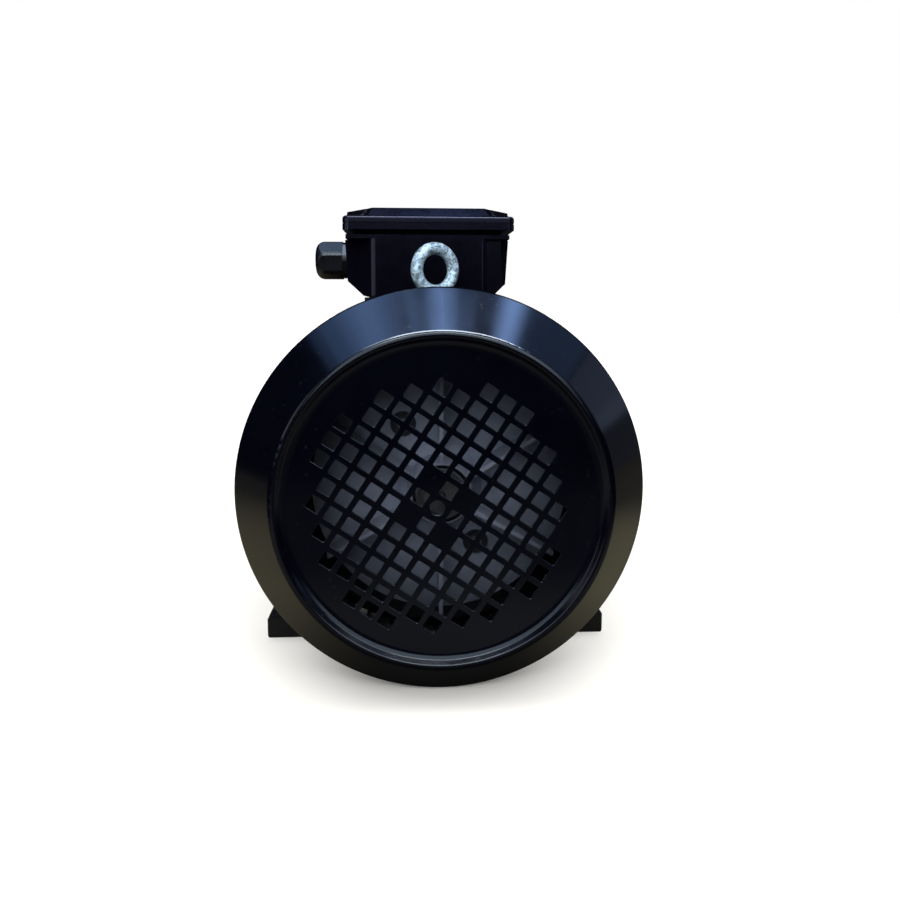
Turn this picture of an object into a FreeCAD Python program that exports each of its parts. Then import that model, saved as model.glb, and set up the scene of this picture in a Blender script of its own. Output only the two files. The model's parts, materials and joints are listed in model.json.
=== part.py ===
import FreeCAD, Part
import math
import os
import Sketcher
from FreeCAD import Vector, Placement, Rotation

# Foot-mounted, fan-cooled alternating current motor.
# Millimetres. X right, Y along the shaft towards the drive end, Z up.
# Origin: centre of the four foot holes, on the mounting plane.

doc = FreeCAD.newDocument("AlternatingCurrentMotor")
sheet = doc.addObject("Spreadsheet::Sheet", "Sizes")


class Size:
    """A number with the spreadsheet expression that gives it."""

    def __init__(self, text, value):
        self.text = text
        self.value = float(value)

    def __add__(self, other):
        return Size("(%s + %s)" % (self.text, text_of(other)), self.value + number(other))

    def __radd__(self, other):
        return Size("(%s + %s)" % (text_of(other), self.text), number(other) + self.value)

    def __sub__(self, other):
        return Size("(%s - %s)" % (self.text, text_of(other)), self.value - number(other))

    def __rsub__(self, other):
        return Size("(%s - %s)" % (text_of(other), self.text), number(other) - self.value)

    def __mul__(self, other):
        return Size("(%s * %s)" % (self.text, text_of(other)), self.value * number(other))

    def __rmul__(self, other):
        return Size("(%s * %s)" % (text_of(other), self.text), number(other) * self.value)

    def __truediv__(self, other):
        return Size("(%s / %s)" % (self.text, text_of(other)), self.value / number(other))

    def __neg__(self):
        return Size("(0 - %s)" % self.text, -self.value)


def number(x):
    return x.value if isinstance(x, Size) else float(x)


def text_of(x):
    return x.text if isinstance(x, Size) else "(%.6f)" % float(x)


rows = [0]


def size(alias, value, note):
    rows[0] += 1
    n = rows[0]
    sheet.set("A%d" % n, alias)
    sheet.set("B%d" % n, repr(value))
    sheet.set("C%d" % n, note)
    sheet.setAlias("B%d" % n, alias)
    return Size("Sizes." + alias, value)


# ---------------------------------------------------------------- sizes
axis_height = size("axis_height", 160, "shaft centre height H")
foot_span_x = size("foot_span_x", 254, "foot hole spacing A")
foot_span_y = size("foot_span_y", 210, "foot hole spacing B")
foot_hole_r = size("foot_hole_r", 7.25, "foot hole radius K/2")
foot_outer_x = size("foot_outer_x", 155.4, "half of the width over the feet")
foot_inner_x = size("foot_inner_x", 92, "inner edge of a foot slab")
foot_half_len = size("foot_half_len", 138, "half of the foot length")
foot_slab = size("foot_slab", 18.5, "thickness of the foot slab")
foot_seat = size("foot_seat", 38, "height of the seat between foot and frame")
shoulder_y = size("shoulder_y", 213, "shaft shoulder, B/2 + C")
shaft_tip_y = size("shaft_tip_y", 323, "drive end of the shaft")
shaft_r = size("shaft_r", 21, "drive shaft radius D/2")
seat_r = size("seat_r", 22.5, "bearing seat radius")
core_r = size("core_r", 27, "shaft radius under the rotor")
tail_r = size("tail_r", 20, "shaft radius under the rear seal")
fan_seat = size("fan_seat", 15, "shaft radius under the fan")
tail_y = size("tail_y", -248, "fan end of the shaft")
key_wide = size("key_wide", 12, "keyway width F")
key_deep = size("key_deep", 5, "keyway depth")
thread_r = size("thread_r", 7, "tapped centre of the drive end, radius")
thread_len = size("thread_len", 36, "tapped centre of the drive end, depth")
frame_half = size("frame_half", 150, "half length of the frame")
bore_r = size("bore_r", 130, "frame bore and stator core outside radius")
barrel_r = size("barrel_r", 137, "frame barrel outside radius")
fin_r = size("fin_r", 150, "fin tip radius")
fin_thick = size("fin_thick", 3, "fin thickness")
bolt_ring = size("bolt_ring", 144.5, "radius of the shield bolt circle")
flange_r = size("flange_r", 141, "shield rim radius")
stack_half = size("stack_half", 80, "half length of the core stacks")
rotor_r = size("rotor_r", 84.9, "rotor radius")
gap_r = size("gap_r", 85.5, "stator bore radius")
slot_low = size("slot_low", 89, "slot bottom radius")
slot_top = size("slot_top", 109, "slot top radius")
slot_wide = size("slot_wide", 8, "slot width")
bear_out = size("bear_out", 50, "bearing outside radius")
bear_wide = size("bear_wide", 25, "bearing width")
ball_r = size("ball_r", 8.73, "ball radius")
ball_ring = size("ball_ring", 36.25, "ball pitch radius")
front_mid = size("front_mid", 179.5, "drive end bearing centre")
rear_mid = size("rear_mid", -172.5, "fan end bearing centre")
cowl_r = size("cowl_r", 157.5, "cowl outside radius")
cowl_sheet = size("cowl_sheet", 1.5, "cowl sheet thickness")
cowl_back = size("cowl_back", -150, "rear edge of the cowl")
cowl_rim = size("cowl_rim", -240, "rim where the cone starts")
cowl_front = size("cowl_front", -277.2, "front ridge of the cone")
ridge_r = size("ridge_r", 124.85, "ridge outer radius")
ridge_in = size("ridge_in", 121.45, "ridge inner radius")
step_r = size("step_r", 118.2, "foot of the steep wall inside the ridge, radius")
step_y = size("step_y", -273.93, "foot of the steep wall inside the ridge")
face_r = size("face_r", 114.6, "radius of the sunk face")
face_y = size("face_y", -272.25, "sunk face")
grid_pitch = size("grid_pitch", 15.16, "grille pitch")
grid_hole = size("grid_hole", 10.8, "grille hole side")
grid_turn = size("grid_turn", 33.29, "turn of the grille, degrees")
grid_x = size("grid_x", -4.1, "grille centre, across")
grid_z = size("grid_z", -3.1, "grille centre, up")
grid_round = size("grid_round", 5.6, "round centre hole radius")
fan_r = size("fan_r", 103, "fan radius")
fan_face = size("fan_face", -209, "front of the fan disc")
fan_hub_r = size("fan_hub_r", 23.3, "fan hub radius")
fan_hub_y = size("fan_hub_y", -244, "front of the fan hub")
blade_thick = size("blade_thick", 3, "fan blade thickness")
box_x = size("box_x", -6.5, "terminal box centre, across")
box_y = size("box_y", -23, "terminal box centre, along")
box_seat = size("box_seat", 311, "seat of the terminal box")
box_low = size("box_low", 312.5, "underside of the box base")
box_floor = size("box_floor", 317, "floor inside the box base")
box_left = size("box_left", 76.5, "left end of the box flange and gland seat, from the box centre")
box_right = size("box_right", 75, "right end of the box flange, from the box centre")
pad_left = size("pad_left", 76, "foot of the left side pad, from the box centre")
pad_right = size("pad_right", 73.6, "foot of the right side pad, from the box centre")
box_half_y = size("box_half_y", 77, "half depth of the box base")
box_side = size("box_side", 73, "half width inside the side pads")
box_cut = size("box_cut", 21, "corner cut of the box base")
rim_cut = size("rim_cut", 24, "corner cut of the box rim and its gasket")
flange_low = size("flange_low", 364.8, "underside of the box flange")
flange_top = size("flange_top", 368.5, "top of the box flange")
rim_top = size("rim_top", 370.8, "top of the box rim")
lid_low = size("lid_low", 372.8, "underside of the lid")
lid_edge = size("lid_edge", 385.3, "top edge of the lid")
lid_rise = size("lid_rise", 8.2, "height of the raised lid panel")
lid_half_x = size("lid_half_x", 79.25, "half width of the lid")
lid_half_y = size("lid_half_y", 81.3, "half depth of the lid")
gland_z = size("gland_z", 349, "height of the cable gland")
gland_flat = size("gland_flat", 17.4, "half of the gland spanner width")
gland_thread = size("gland_thread", 16, "gland thread radius")
cable_r = size("cable_r", 9, "cable passage radius")
eye_x = size("eye_x", -1.5, "eye bolt, across")
eye_y = size("eye_y", -132, "eye bolt, along")
eye_seat = size("eye_seat", 307.5, "seat of the eye bolt")
eye_centre = size("eye_centre", 335, "centre height of the eye")
eye_ring = size("eye_ring", 18.6, "mean radius of the eye")
eye_bar = size("eye_bar", 5.4, "bar radius of the eye")
eye_turn = size("eye_turn", 29, "turn of the eye, degrees")
eye_thread = size("eye_thread", 5, "eye bolt thread radius")
doc.recompute()

parts = []
seen = {}


def fresh(name):
    seen[name] = seen.get(name, 0) + 1
    return name if seen[name] == 1 else "%s_%d" % (name, seen[name])


def bind(owner, path, value):
    if isinstance(value, Size):
        owner.setExpression(path, value.text)


def done(obj, label):
    obj.Label = label
    parts.append(obj)
    return obj


# ------------------------------------------------ primitives bound to the sheet
TURN = {
    "Z": Rotation(),
    "-Z": Rotation(Vector(1, 0, 0), 180),
    "Y": Rotation(Vector(1, 0, 0), -90),
    "-Y": Rotation(Vector(1, 0, 0), 90),
    "X": Rotation(Vector(0, 1, 0), 90),
    "-X": Rotation(Vector(0, 1, 0), -90),
}


def place(obj, base, way="Z", spin=0.0):
    turn = way if isinstance(way, Rotation) else TURN[way]
    if spin:
        turn = turn.multiply(Rotation(Vector(0, 0, 1), spin))
    obj.Placement = Placement(Vector(*[number(c) for c in base]), turn)
    for axis, c in zip("xyz", base):
        bind(obj, "Placement.Base." + axis, c)


def cyl(name, radius, height, base, way="Z"):
    o = doc.addObject("Part::Cylinder", fresh(name))
    o.Radius = number(radius)
    o.Height = number(height)
    bind(o, "Radius", radius)
    bind(o, "Height", height)
    place(o, base, way)
    return o


def cone(name, r_low, r_high, height, base, way="Z"):
    o = doc.addObject("Part::Cone", fresh(name))
    o.Radius1 = number(r_low)
    o.Radius2 = number(r_high)
    o.Height = number(height)
    bind(o, "Radius1", r_low)
    bind(o, "Radius2", r_high)
    bind(o, "Height", height)
    place(o, base, way)
    return o


def block(name, low, high):
    o = doc.addObject("Part::Box", fresh(name))
    for prop, a, b in zip(("Length", "Width", "Height"), low, high):
        d = b - a
        setattr(o, prop, number(d))
        bind(o, prop, d)
    place(o, low)
    return o


def hexagon(name, flat, height, base, way="Z", spin=0.0):
    o = doc.addObject("Part::Prism", fresh(name))
    o.Polygon = 6
    r = flat * (2.0 / math.sqrt(3.0))
    o.Circumradius = number(r)
    o.Height = number(height)
    bind(o, "Circumradius", r)
    bind(o, "Height", height)
    place(o, base, way, spin)
    return o


def ball(name, radius, base):
    o = doc.addObject("Part::Sphere", fresh(name))
    o.Radius = number(radius)
    bind(o, "Radius", radius)
    place(o, base)
    return o


def ring_bar(name, ring, bar, base, way="Z"):
    o = doc.addObject("Part::Torus", fresh(name))
    o.Radius1 = number(ring)
    o.Radius2 = number(bar)
    bind(o, "Radius1", ring)
    bind(o, "Radius2", bar)
    place(o, base, way)
    return o


def fuse(name, items):
    o = doc.addObject("Part::MultiFuse", fresh(name))
    o.Shapes = items
    return o


def cut(name, base, tool):
    o = doc.addObject("Part::Cut", fresh(name))
    o.Base = base
    o.Tool = tool
    return o


def common(name, items):
    o = doc.addObject("Part::MultiCommon", fresh(name))
    o.Shapes = items
    return o


def group(name, items):
    o = doc.addObject("Part::Compound", fresh(name))
    o.Links = items
    return o


def fillet(name, base, radius, choose):
    doc.recompute()
    ids = [i + 1 for i, e in enumerate(base.Shape.Edges) if choose(e)]
    o = doc.addObject("Part::Fillet", fresh(name))
    o.Base = base
    o.Edges = [(i, radius, radius) for i in ids]
    return o


# --------------------------------------------------------- bodies and sketches
def new_body(name, base=(0, 0, 0)):
    b = doc.addObject("PartDesign::Body", fresh(name))
    place(b, base)
    return b


def origin_item(body, word):
    for o in body.Origin.OriginFeatures:
        if o.Name.startswith(word):
            return o


def new_sketch(body, name, plane, offset=0.0):
    sk = body.newObject("Sketcher::SketchObject", fresh(name))
    sk.AttachmentSupport = [(origin_item(body, plane + "_Plane"), "")]
    sk.MapMode = "FlatFace"
    if number(offset):
        sk.AttachmentOffset = Placement(Vector(0, 0, number(offset)), Rotation())
        bind(sk, "AttachmentOffset.Base.z", offset)
    return sk


def add_loop(sk, pts):
    n = len(pts)
    first = sk.GeometryCount
    v = [Vector(number(a), number(b), 0) for a, b in pts]
    sk.addGeometry([Part.LineSegment(v[i], v[(i + 1) % n]) for i in range(n)], False)
    cons = [Sketcher.Constraint("Coincident", first + i, 2, first + (i + 1) % n, 1) for i in range(n)]
    links = []
    for i, (a, b) in enumerate(pts):
        for kind, c, line in (("DistanceX", a, -2), ("DistanceY", b, -1)):
            if abs(number(c)) < 1e-9:
                cons.append(Sketcher.Constraint("PointOnObject", first + i, 1, line))
            else:
                links.append((len(cons), c))
                cons.append(Sketcher.Constraint(kind, -1, 1, first + i, 1, number(c)))
    ids = sk.addConstraint(cons)
    for k, c in links:
        bind(sk, "Constraints[%d]" % ids[k], c)


def add_circle(sk, a, b, radius):
    g = sk.GeometryCount
    sk.addGeometry(Part.Circle(Vector(number(a), number(b), 0), Vector(0, 0, 1), number(radius)), False)
    cons = []
    links = []
    for kind, c, line in (("DistanceX", a, -2), ("DistanceY", b, -1)):
        if abs(number(c)) < 1e-9:
            cons.append(Sketcher.Constraint("PointOnObject", g, 3, line))
        else:
            links.append((len(cons), c))
            cons.append(Sketcher.Constraint(kind, -1, 1, g, 3, number(c)))
    links.append((len(cons), radius))
    cons.append(Sketcher.Constraint("Radius", g, number(radius)))
    ids = sk.addConstraint(cons)
    for k, c in links:
        bind(sk, "Constraints[%d]" % ids[k], c)


def spin_solid(body, name, pts, remove=False):
    """Turn a (y, radius) outline about the body's Y axis."""
    sk = new_sketch(body, name + "_outline", "YZ")
    add_loop(sk, pts)
    f = body.newObject("PartDesign::Groove" if remove else "PartDesign::Revolution", fresh(name))
    f.Profile = sk
    f.ReferenceAxis = (sk, ["H_Axis"])
    f.Angle = 360
    body.Tip = f
    return f


def push(body, name, plane, loops, length=None, offset=0.0, remove=False, both=False, back=False, taper=0.0):
    """Pad or pocket of loops in a plane of the body; no length means through all."""
    sk = new_sketch(body, name + "_outline", plane, offset)
    for lp in loops:
        if isinstance(lp, tuple):
            add_circle(sk, *lp)
        else:
            add_loop(sk, lp)
    f = body.newObject("PartDesign::Pocket" if remove else "PartDesign::Pad", fresh(name))
    f.Profile = sk
    if length is None:
        f.Type = "ThroughAll"
    else:
        f.Length = number(length)
        bind(f, "Length", length)
    if both:
        f.SideType = "Symmetric"
    if back:
        f.Reversed = True
    if taper:
        f.TaperAngle = taper
    body.Tip = f
    return f


def around(body, name, items, count):
    p = body.newObject("PartDesign::PolarPattern", fresh(name))
    p.Originals = items
    p.Axis = (origin_item(body, "Y_Axis"), [""])
    p.Angle = 360
    p.Occurrences = count
    body.Tip = p
    return p


def rect(a0, b0, a1, b1):
    return [(a0, b0), (a1, b0), (a1, b1), (a0, b1)]


def cut_rect(a, b, c, d=None):
    """Rectangle of half sizes a, b with its corners cut by c, or by c along a and d along b."""
    d = c if d is None else d
    return [(a, d - b), (a, b - d), (a - c, b), (c - a, b), (-a, b - d), (-a, d - b), (c - a, -b), (a - c, -b)]


def polar(radius, degrees):
    c, s = math.cos(math.radians(degrees)), math.sin(math.radians(degrees))
    return radius * c, radius * s


ON_AXIS = (0, 0, axis_height)
BOLT_ANGLES = (45, 135, 225, 315)
COWL_ANGLES = (20, 160, 200, 340)

# ---------------------------------------------------------------- stator frame
frame = new_body("frame_body", ON_AXIS)
spin_solid(frame, "barrel", [(-frame_half, bore_r), (frame_half, bore_r), (frame_half, barrel_r), (-frame_half, barrel_r)])
fin = push(frame, "fin", "XZ", [rect(-fin_thick / 2, bore_r + 4, fin_thick / 2, fin_r)], frame_half * 2 - 4, both=True)
around(frame, "fins", [fin], 44)
boss_w = 11.0
for a in BOLT_ANGLES:
    c, s = math.cos(math.radians(a)), math.sin(math.radians(a))
    pts = [(r * c - t * s, r * s + t * c) for r, t in
           ((bore_r + 3, -boss_w), (fin_r + 4, -boss_w), (fin_r + 4, boss_w), (bore_r + 3, boss_w))]
    push(frame, "bolt_rail", "XZ", [pts], frame_half * 2, both=True)
push(frame, "box_pad", "XY", [rect(box_x - 60, box_y - 67, box_x + 60, box_y + 67)],
     box_seat - axis_height - 90, offset=90)
push(frame, "eye_boss", "XY", [(eye_x, eye_y, 16)], eye_seat - axis_height - 125, offset=125)
for side in (-1, 1):
    for end in (-1, 1):
        xs = sorted([side * 88.0, side * 113.0])
        ys = sorted([end * 76.0, end * 134.0])
        push(frame, "foot_pad", "XY", [rect(xs[0], ys[0], xs[1], ys[1])], 52, offset=foot_seat - axis_height)
push(frame, "plate_pad", "YZ", [rect(-30, -32, 70, 32)], 31.5, offset=120)
spin_solid(frame, "bore", [(-frame_half - 1, 0), (frame_half + 1, 0), (frame_half + 1, bore_r), (-frame_half - 1, bore_r)], remove=True)
push(frame, "lead_hole", "XY", [rect(box_x - 30, box_y - 59, box_x + 30, box_y - 23)], 60, offset=100, remove=True, back=True)
holes = []
for a in BOLT_ANGLES:
    px, pz = polar(bolt_ring, a)
    for y, way in ((frame_half + 1, "-Y"), (-frame_half - 1, "Y")):
        holes.append(cyl("bolt_hole", 4.05, 31, (px, y, axis_height + pz), way))
for side in (-1, 1):
    for y in (-121, -87, 87, 121):
        holes.append(cyl("foot_screw_hole", 4.05, 18, (side * 101.0, y, foot_seat - 1)))
for dx, dy in ((-48, -45), (48, -45), (-48, 45), (48, 45)):
    holes.append(cyl("box_screw_hole", 3.05, 14, (box_x + dx, box_y + dy, box_seat - 13)))
holes.append(cyl("eye_spot", 16.5, 10, (eye_x, eye_y, eye_seat)))
holes.append(cyl("eye_hole", eye_thread + 0.05, 15.5, (eye_x, eye_y, eye_seat - 15)))
holes.append(cyl("earth_hole", 3.05, 14, (box_x + 46, box_y - 20, box_seat - 13)))
for y, z in ((-24, 134), (64, 134), (-24, 186), (64, 186)):
    holes.append(cyl("rivet_hole", 1.55, 7, (145.5, y, z), "X"))
done(cut("stator_frame", frame, group("frame_holes", holes)), "stator_frame")

# ------------------------------------------------------------------------ feet
for side, label in ((-1, "foot_left"), (1, "foot_right")):
    xs = [side * foot_inner_x, side * foot_outer_x]
    if side < 0:
        xs.reverse()
    slab = block("foot_slab", (xs[0], -foot_half_len, 0), (xs[1], foot_half_len, foot_slab))
    slab = fillet("foot_slab_round", slab, 2.5, lambda e, s=side: abs(e.BoundBox.XMin - s * number(foot_outer_x)) < 0.01 and abs(e.BoundBox.XMax - s * number(foot_outer_x)) < 0.01)
    items = [slab]
    for end in (-1, 1):
        xa = sorted([side * 90.0, side * 111.0])
        ya = sorted([end * 78.0, end * 132.0])
        items.append(block("foot_post", (xa[0], ya[0], foot_slab - 2), (xa[1], ya[1], foot_seat)))
    tools = []
    for y in (-1, 1):
        tools.append(cyl("foot_hole", foot_hole_r, foot_slab + 2, (side * foot_span_x / 2, y * foot_span_y / 2, -1)))
    for y in (-121, -87, 87, 121):
        tools.append(cyl("foot_screw_way", 4.5, 50, (side * 101.0, y, -1)))
        tools.append(cyl("foot_screw_sink", 7, 11, (side * 101.0, y, -1)))
    done(cut(label, fuse("foot_solid", items), group("foot_cuts", tools)), label)
screws = []
for side in (-1, 1):
    for y in (-121, -87, 87, 121):
        head = cyl("foot_screw_head", 6.5, 8, (side * 101.0, y, 2))
        shank = cyl("foot_screw_shank", 4, 43, (side * 101.0, y, 9))
        sink = hexagon("foot_screw_socket", 3, 5, (side * 101.0, y, 1))
        screws.append(cut("foot_screw", fuse("foot_screw_solid", [head, shank]), sink))
done(group("foot_screws", screws), "foot_screws")


# ----------------------------------------------------------------- end shields
def ear(body, way, angle, half, r_top, y0, y1):
    c, s = math.cos(math.radians(angle)), math.sin(math.radians(angle))
    pts = [(r * c - t * s, r * s + t * c) for r, t in
           ((126.0, -half), (r_top, -half), (r_top, half), (126.0, half))]
    push(body, "ear", "XZ", [pts], abs(y1 - y0), offset=-max(y0, y1))


shield = new_body("drive_shield_body", ON_AXIS)
spin_solid(shield, "drive_shell", [
    (frame_half - 6, bore_r - 0.05), (frame_half, bore_r - 0.05), (frame_half, flange_r), (frame_half + 10, flange_r),
    (frame_half + 13, 134), (180, 66), (203, 60), (203, 24), (front_mid + bear_wide / 2, 24),
    (front_mid + bear_wide / 2, bear_out), (166.9, bear_out), (166.9, bear_out + 2.5), (163.9, bear_out + 2.5),
    (163.9, bear_out), (158, bear_out), (158, 60), (152, 122), (frame_half - 6, 122)])
rib = push(shield, "drive_rib", "YZ", [[(160, 137), (165, 134), (192, 62), (178, 62)]], 5, both=True)
around(shield, "drive_ribs", [rib], 8)
for a in BOLT_ANGLES:
    ear(shield, "Y", a, 12, 155, 150, 160)
tools = []
for a in BOLT_ANGLES:
    px, pz = polar(bolt_ring, a)
    tools.append(cyl("drive_bolt_way", 4.5, 40, (px, frame_half - 5, axis_height + pz), "Y"))
    tools.append(cyl("drive_bolt_spot", 9, 20, (px, frame_half + 10, axis_height + pz), "Y"))
done(cut("drive_end_shield", shield, group("drive_shield_cuts", tools)), "drive_end_shield")

shield = new_body("rear_shield_body", ON_AXIS)
spin_solid(shield, "rear_shell", [
    (6 - frame_half, bore_r - 0.05), (-frame_half, bore_r - 0.05), (-frame_half, flange_r), (-frame_half - 9, flange_r),
    (-frame_half - 12, 134), (-176, 66), (-194, 60), (-194, 22), (-188, 22),
    (-188, bear_out), (-158, bear_out), (-158, 60), (-152, 122), (6 - frame_half, 122)])
for a in BOLT_ANGLES:
    ear(shield, "Y", a, 12, 154.4, -150, -159)
for a in COWL_ANGLES:
    ear(shield, "Y", a, 10, 155.5, -150, -166)
tools = []
for a in BOLT_ANGLES:
    px, pz = polar(bolt_ring, a)
    tools.append(cyl("rear_bolt_way", 4.5, 40, (px, -frame_half + 5, axis_height + pz), "-Y"))
    tools.append(cyl("rear_bolt_spot", 9, 20, (px, -frame_half - 9, axis_height + pz), "-Y"))
for a in COWL_ANGLES:
    px, pz = polar(140.0, a)
    tools.append(cyl("cowl_screw_hole", 2.55, 20, (px, -158, axis_height + pz), Rotation(Vector(0, 1, 0), 90 - a)))
done(cut("rear_end_shield", shield, group("rear_shield_cuts", tools)), "rear_end_shield")

for label, face, way, back in (("drive_shield_bolts", frame_half + 10, "Y", "-Y"), ("rear_shield_bolts", -frame_half - 9, "-Y", "Y")):
    bolts = []
    for a in BOLT_ANGLES:
        px, pz = polar(bolt_ring, a)
        washer = cyl("shield_washer", 8, 1.6, (px, face, axis_height + pz), way)
        head = hexagon("shield_bolt_head", 6.5, 5.3, (px, face + (1.6 if way == "Y" else -1.6), axis_height + pz), way, 15)
        shank = cyl("shield_bolt_shank", 4, 34, (px, face, axis_height + pz), back)
        bolts.append(fuse("shield_bolt", [washer, head, shank]))
    done(group(label, bolts), label)

# -------------------------------------------------------------------- bearings
for word, mid in (("front", front_mid), ("rear", rear_mid)):
    lo, hi = mid - bear_wide / 2, mid + bear_wide / 2
    track = ball_r + 0.35
    body = new_body(word + "_outer_body", ON_AXIS)
    spin_solid(body, word + "_outer_ring", [
        (lo, bear_out - 1), (lo + 1, bear_out - 0.02), (hi - 1, bear_out - 0.02), (hi, bear_out - 1), (hi, 43), (hi - 1.5, 43),
        (hi - 1.5, 41.7), (lo + 1.5, 41.7), (lo + 1.5, 43), (lo, 43)])
    race = ring_bar(word + "_outer_race", ball_ring, track, (0, mid, axis_height), "Y")
    done(cut(word + "_bearing_outer", body, race), word + "_bearing_outer")
    body = new_body(word + "_inner_body", ON_AXIS)
    spin_solid(body, word + "_inner_ring", [(lo, seat_r), (hi, seat_r), (hi, 30.8), (lo, 30.8)])
    race = ring_bar(word + "_inner_race", ball_ring, track, (0, mid, axis_height), "Y")
    done(cut(word + "_bearing_inner", body, race), word + "_bearing_inner")
    balls, pockets = [], []
    for k in range(8):
        px, pz = polar(ball_ring, 45.0 * k)
        balls.append(ball(word + "_ball", ball_r, (px, mid, axis_height + pz)))
        qx, qz = polar(30.0, 45.0 * k)
        pockets.append(cyl(word + "_pocket", ball_r + 0.32, 13, (qx, mid, axis_height + qz), Rotation(Vector(0, 1, 0), 90 - 45.0 * k)))
    done(group(word + "_bearing_balls", balls), word + "_bearing_balls")
    body = new_body(word + "_cage_body", ON_AXIS)
    spin_solid(body, word + "_cage_ring", [(mid - 10.3, 34), (mid + 10.3, 34), (mid + 10.3, 38.5), (mid - 10.3, 38.5)])
    done(cut(word + "_bearing_cage", body, group(word + "_pockets", pockets)), word + "_bearing_cage")
    plates = []
    for y in (lo + 0.4, hi - 1.4):
        plates.append(cut(word + "_plate", cyl(word + "_plate_disc", 42.95, 1.0, (0, y, axis_height), "Y"),
                          cyl(word + "_plate_hole", 31.3, 4, (0, y - 1, axis_height), "Y")))
    done(group(word + "_bearing_plates", plates), word + "_bearing_plates")

body = new_body("spring_body", ON_AXIS)
spin_solid(body, "spring", [(-185.1, 49.4), (-185.9, 49.4), (-187.9, 42.5), (-187.1, 42.5)])
done(body, "preload_spring")
clip = cut("clip_ring", cyl("clip_outer", bear_out + 2.4, 2.7, (0, 164.05, axis_height), "Y"),
           cyl("clip_inner", 45.5, 5, (0, 163, axis_height), "Y"))
done(cut("bearing_circlip", clip, block("clip_gap", (-5, 160, axis_height - 60), (5, 170, axis_height - 40))), "bearing_circlip")
body = new_body("front_seal_body", ON_AXIS)
spin_solid(body, "front_seal", [(203.4, 33), (204.6, 33), (206, 28.5), (210.5, 29.5), (210.5, seat_r), (203.9, seat_r), (203.9, 27), (205, 28)])
done(body, "front_v_ring")
body = new_body("rear_seal_body", ON_AXIS)
spin_solid(body, "rear_seal", [(-194.4, 31), (-195.6, 31), (-197, 26.5), (-201.5, 27), (-201.5, tail_r), (-194.9, tail_r), (-194.9, 25), (-196, 26)])
done(body, "rear_v_ring")

# ------------------------------------------------------------- stator and rotor
stator = new_body("stator_core_body", ON_AXIS)
spin_solid(stator, "stator_ring", [(-stack_half, gap_r), (stack_half, gap_r), (stack_half, bore_r), (-stack_half, bore_r)])
slot = push(stator, "slot", "XZ", [[(-1.3, gap_r - 2), (1.3, gap_r - 2), (1.3, slot_low - 1.5), (slot_wide / 2, slot_low),
                                   (slot_wide / 2 + 1, slot_top), (-slot_wide / 2 - 1, slot_top), (-slot_wide / 2, slot_low), (-1.3, slot_low - 1.5)]],
            stack_half * 2 + 4, remove=True, both=True)
around(stator, "slots", [slot], 36)
done(stator, "stator_core")

winding = new_body("winding_body", ON_AXIS)
for d in (-1, 1):
    y = [d * v for v in (84, 84, 90, 112, 121, 121, 114, 90)]
    r = [92, 118, 124, 124, 118, 98, 90, 89]
    if d > 0:
        first = list(zip(y, r))
    else:
        second = list(zip(y, r))
spin_solid(winding, "end_turns_drive", first)
coil = push(winding, "coil_side", "XZ", [[(-slot_wide / 2 + 0.4, slot_low + 0.6), (slot_wide / 2 - 0.4, slot_low + 0.6),
                                         (slot_wide / 2 + 0.6, slot_top - 0.4), (-slot_wide / 2 - 0.6, slot_top - 0.4)]],
            stack_half * 2 + 16, both=True)
around(winding, "coil_sides", [coil], 36)
spin_solid(winding, "end_turns_rear", second)
done(winding, "stator_winding")

bars = 26
rotor = new_body("rotor_core_body", ON_AXIS)
spin_solid(rotor, "rotor_stack", [(-stack_half, core_r), (stack_half, core_r), (stack_half, rotor_r), (-stack_half, rotor_r)])
bar_hole = push(rotor, "bar_hole", "XZ", [(0, 76, 4.2)], stack_half * 2 + 4, remove=True, both=True)
around(rotor, "bar_holes", [bar_hole], bars)
done(rotor, "rotor_core")
cage = new_body("rotor_cage_body", ON_AXIS)
spin_solid(cage, "cage_ring_drive", [(stack_half, 62), (98, 64), (98, 82), (stack_half, 83)])
bar = push(cage, "bar", "XZ", [(0, 76, 4.15)], stack_half * 2 + 4, both=True)
around(cage, "bars", [bar], bars)
spin_solid(cage, "cage_ring_rear", [(-stack_half, 62), (-98, 64), (-98, 82), (-stack_half, 83)])
for word, plane_y in (("drive", 110), ("rear", -96)):
    vane = push(cage, "vane_" + word, "XZ", [rect(-1.5, 66, 1.5, 80)], 14, offset=-plane_y)
    around(cage, "vanes_" + word, [vane], 13)
done(cage, "rotor_cage")

shaft = new_body("shaft_body", ON_AXIS)
spin_solid(shaft, "shaft_turned", [
    (tail_y, 0), (tail_y, fan_seat - 1), (tail_y + 1, fan_seat), (-246.4, fan_seat), (-246.4, fan_seat - 1.5), (-244.5, fan_seat - 1.5),
    (-244.5, fan_seat), (-202, fan_seat), (-202, tail_r), (-186, tail_r), (-186, seat_r), (rear_mid + bear_wide / 2, seat_r), (rear_mid + bear_wide / 2, core_r),
    (front_mid - bear_wide / 2, core_r), (front_mid - bear_wide / 2, seat_r), (shoulder_y, seat_r), (shoulder_y, shaft_r),
    (shaft_tip_y - 1.5, shaft_r), (shaft_tip_y, shaft_r - 1.5), (shaft_tip_y, 0)])
ends = key_wide / 2
slot_body = fuse("keyway", [
    block("keyway_run", (-key_wide / 2, 229, axis_height + shaft_r - key_deep), (key_wide / 2, 307, axis_height + shaft_r + 2)),
    cyl("keyway_end", ends, key_deep + 2, (0, 229, axis_height + shaft_r - key_deep)),
    cyl("keyway_end", ends, key_deep + 2, (0, 307, axis_height + shaft_r - key_deep))])
fan_slot = block("fan_keyway", (-3, -241, axis_height + fan_seat - 3.5), (3, -210, axis_height + fan_seat + 2))
centre = cyl("shaft_thread", thread_r, thread_len + 1, (0, shaft_tip_y + 1, axis_height), "-Y")
dimple = cone("shaft_dimple", 3.4, 0.8, 7, (0, tail_y - 0.5, axis_height), "Y")
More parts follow.
